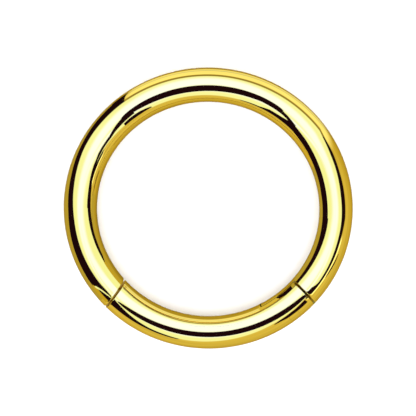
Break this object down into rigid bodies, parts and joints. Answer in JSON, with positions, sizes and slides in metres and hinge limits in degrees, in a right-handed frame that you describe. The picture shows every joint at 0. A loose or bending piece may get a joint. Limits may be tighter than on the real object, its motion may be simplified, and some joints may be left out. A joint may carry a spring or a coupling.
{
  "type": "clicker ring",
  "caption": "Gold hinged segment ring for a piercing: a round wire ring whose lower arc swings open on a cross pin and clicks shut on a tab.",
  "frame": {"origin": "centre of the ring, on the surface that it lies on", "axes": "+Z along the ring's axis, up from that surface; -Y to the middle of the hinged segment; the hinge is on the +X side and the clasp on the -X side"},
  "size_m": [0.0104, 0.0104, 0.0012],
  "materials": {
    "gold_steel": "mirror-polished gold coating on surgical steel",
    "gold_pin": "gold-coated steel pin, dressed flush and polished"
  },
  "bodies": {
    "main_arc": {"main_arc": "gold_steel"},
    "segment": {"hinged_segment": "gold_steel", "hinge_pin": "gold_pin"}
  },
  "joints": [
    {"name": "segment_hinge", "type": "hinge", "parent": "main_arc", "child": "segment", "pos_m": [0.0031, -0.00379, 0.0006], "axis": [0, 0, 1], "range_deg": [0, 140]}
  ]
}
